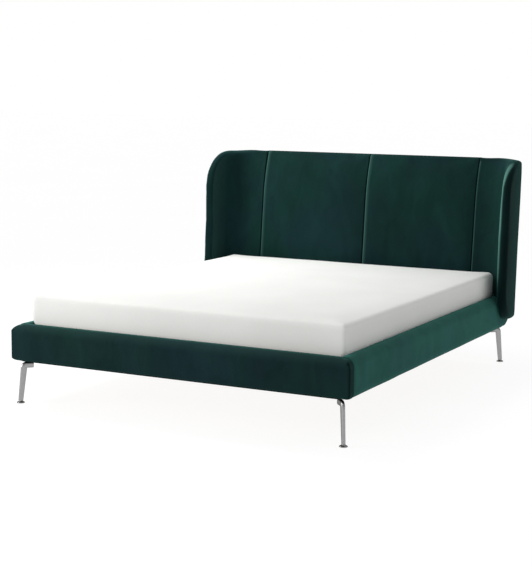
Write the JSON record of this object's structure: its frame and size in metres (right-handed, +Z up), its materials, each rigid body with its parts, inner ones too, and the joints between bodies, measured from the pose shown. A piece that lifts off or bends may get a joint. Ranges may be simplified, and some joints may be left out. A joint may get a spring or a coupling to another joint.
{
  "type": "upholstered headboard bed",
  "caption": "Double bed with a leaning headboard whose padded wings curve forward, padded rails on slim bent steel legs, slatted base and mattress.",
  "frame": {"origin": "on the floor, under the middle of the bed's overall box", "axes": "+Y along the bed towards the headboard, +Z up, +X to the right as seen from the foot"},
  "size_m": [1.838, 2.2691, 1.1191],
  "materials": {
    "velvet": "deep green short-pile velvet, brushed pile",
    "foam": "open-cell upholstery foam, cut faces",
    "timber": "planed softwood, unfinished",
    "plywood": "birch plywood, sanded",
    "slat_timber": "planed pine, unfinished",
    "zinc_steel": "zinc-plated steel",
    "chrome_satin": "satin chrome-plated steel",
    "ticking": "plain off-white knitted mattress cover",
    "band": "woven polyester tape"
  },
  "bodies": {
    "frame": {"side_rail_core_left": "timber", "side_rail_core_right": "timber", "side_rail_foam_left": "foam", "side_rail_foam_right": "foam", "side_rail_cover_left": "velvet", "side_rail_cover_right": "velvet", "foot_rail_core": "timber", "foot_rail_foam": "foam", "foot_rail_cover": "velvet", "head_rail": "timber", "corner_block_front_left": "timber", "corner_block_front_right": "timber", "corner_block_back_left": "timber", "corner_block_back_right": "timber", "leg_front_left": "chrome_satin", "leg_front_right": "chrome_satin", "leg_back_left": "chrome_satin", "leg_back_right": "chrome_satin", "glide_front_left": "chrome_satin", "glide_front_right": "chrome_satin", "glide_back_left": "chrome_satin", "glide_back_right": "chrome_satin", "leg_screws": "zinc_steel", "ledge_left": "zinc_steel", "ledge_right": "zinc_steel", "ledge_screws": "zinc_steel", "midbeam_outer": "zinc_steel", "midbeam_inner": "zinc_steel", "midbeam_bracket_foot": "zinc_steel", "midbeam_bracket_head": "zinc_steel", "midbeam_screws": "zinc_steel", "corner_bracket_left": "zinc_steel", "corner_bracket_right": "zinc_steel", "headboard_bracket_left": "zinc_steel", "headboard_bracket_right": "zinc_steel", "bracket_screws": "zinc_steel", "headboard_board": "plywood", "headboard_battens": "timber", "headboard_foam_left": "foam", "headboard_foam_right": "foam", "headboard_cover_left": "velvet", "headboard_cover_right": "velvet", "headboard_back_cover": "velvet", "wing_shell_left": "plywood", "wing_shell_right": "plywood", "wing_foam_left": "foam", "wing_foam_right": "foam", "wing_cover_left": "velvet", "wing_cover_right": "velvet"},
    "slats": {"slats_left": "slat_timber", "slats_right": "slat_timber", "slat_bands_left": "band", "slat_bands_right": "band"},
    "mattress": {"mattress_cover": "ticking", "mattress_core": "foam"}
  },
  "joints": [
    {"name": "slats_lift", "type": "slide", "parent": "frame", "child": "slats", "axis": [0, 0, 1], "range_m": [0, 0.3]},
    {"name": "mattress_lift", "type": "slide", "parent": "slats", "child": "mattress", "axis": [0, 0, 1], "range_m": [0, 0.85]}
  ]
}
